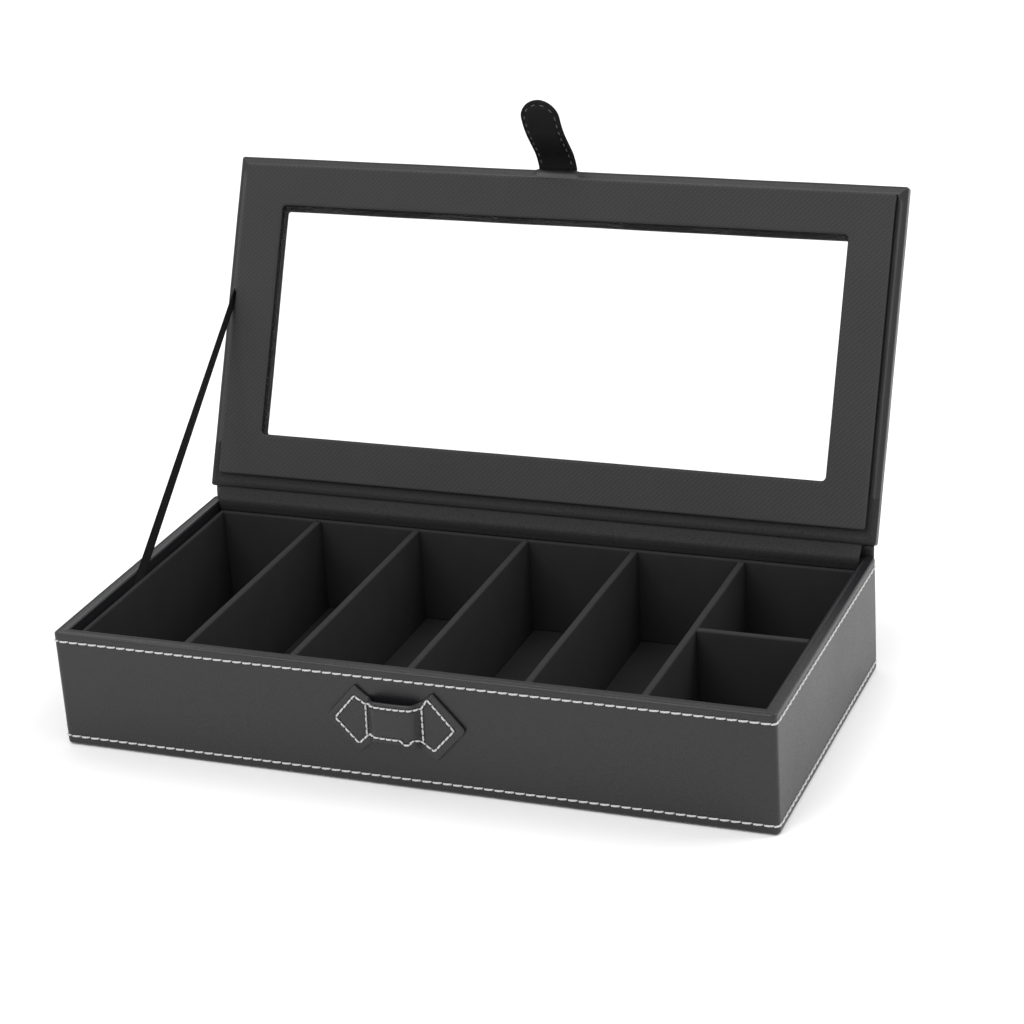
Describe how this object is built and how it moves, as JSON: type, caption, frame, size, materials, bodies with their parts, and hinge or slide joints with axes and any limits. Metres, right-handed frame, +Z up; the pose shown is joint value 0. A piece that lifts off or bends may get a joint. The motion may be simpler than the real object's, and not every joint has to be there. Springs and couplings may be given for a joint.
{
  "type": "sunglasses storage box",
  "caption": "Long leather-covered box with a suede-lined tray of long compartments and a hinged lid with a clear window, held shut by a tongue behind a keeper.",
  "frame": {"origin": "middle of the tray's flat underside", "axes": "+X along the box's length to its right end, +Y to the hinge side at the back, +Z up"},
  "size_m": [0.356, 0.2549, 0.2648],
  "materials": {
    "leather": "black imitation leather, fine grain, satin",
    "tongue_leather": "smooth black leather lining, semi-matte",
    "suede": "black velvet suede",
    "board": "raw fibreboard",
    "panel_fabric": "black fine twill weave",
    "base_felt": "black felted sheet",
    "clear_plastic": "clear acrylic sheet",
    "ribbon": "black woven ribbon"
  },
  "bodies": {
    "tray": {"base_board": "board", "front_board": "board", "back_board": "board", "left_board": "board", "right_board": "board", "outer_leather": "leather", "bottom_cover": "base_felt", "floor_pad": "suede", "insert_front_wall": "suede", "insert_back_wall": "suede", "insert_left_wall": "suede", "insert_right_wall": "suede", "divider_1": "suede", "divider_2": "suede", "divider_3": "suede", "divider_4": "suede", "divider_5": "suede", "cross_divider": "suede", "keeper_strap": "leather", "hinge_leather": "leather", "hinge_lining": "leather", "ribbon_stay": "ribbon"},
    "lid": {"lid_board": "board", "lid_leather": "leather", "inner_panel": "panel_fabric", "window_pane": "clear_plastic"},
    "tongue": {"tongue_leather": "leather", "tongue_lining": "tongue_leather"}
  },
  "joints": [
    {"name": "lid_hinge", "type": "hinge", "parent": "tray", "child": "lid", "pos_m": [0, 0.086, 0.06545], "axis": [1, 0, 0], "range_deg": [0, 114.9], "deforming": ["hinge_leather", "hinge_lining", "ribbon_stay"]},
    {"name": "tongue_fold", "type": "hinge", "parent": "lid", "child": "tongue", "pos_m": [-0.002, 0.15818, 0.22345], "axis": [1, 0, 0], "range_deg": [-50, 31]}
  ]
}
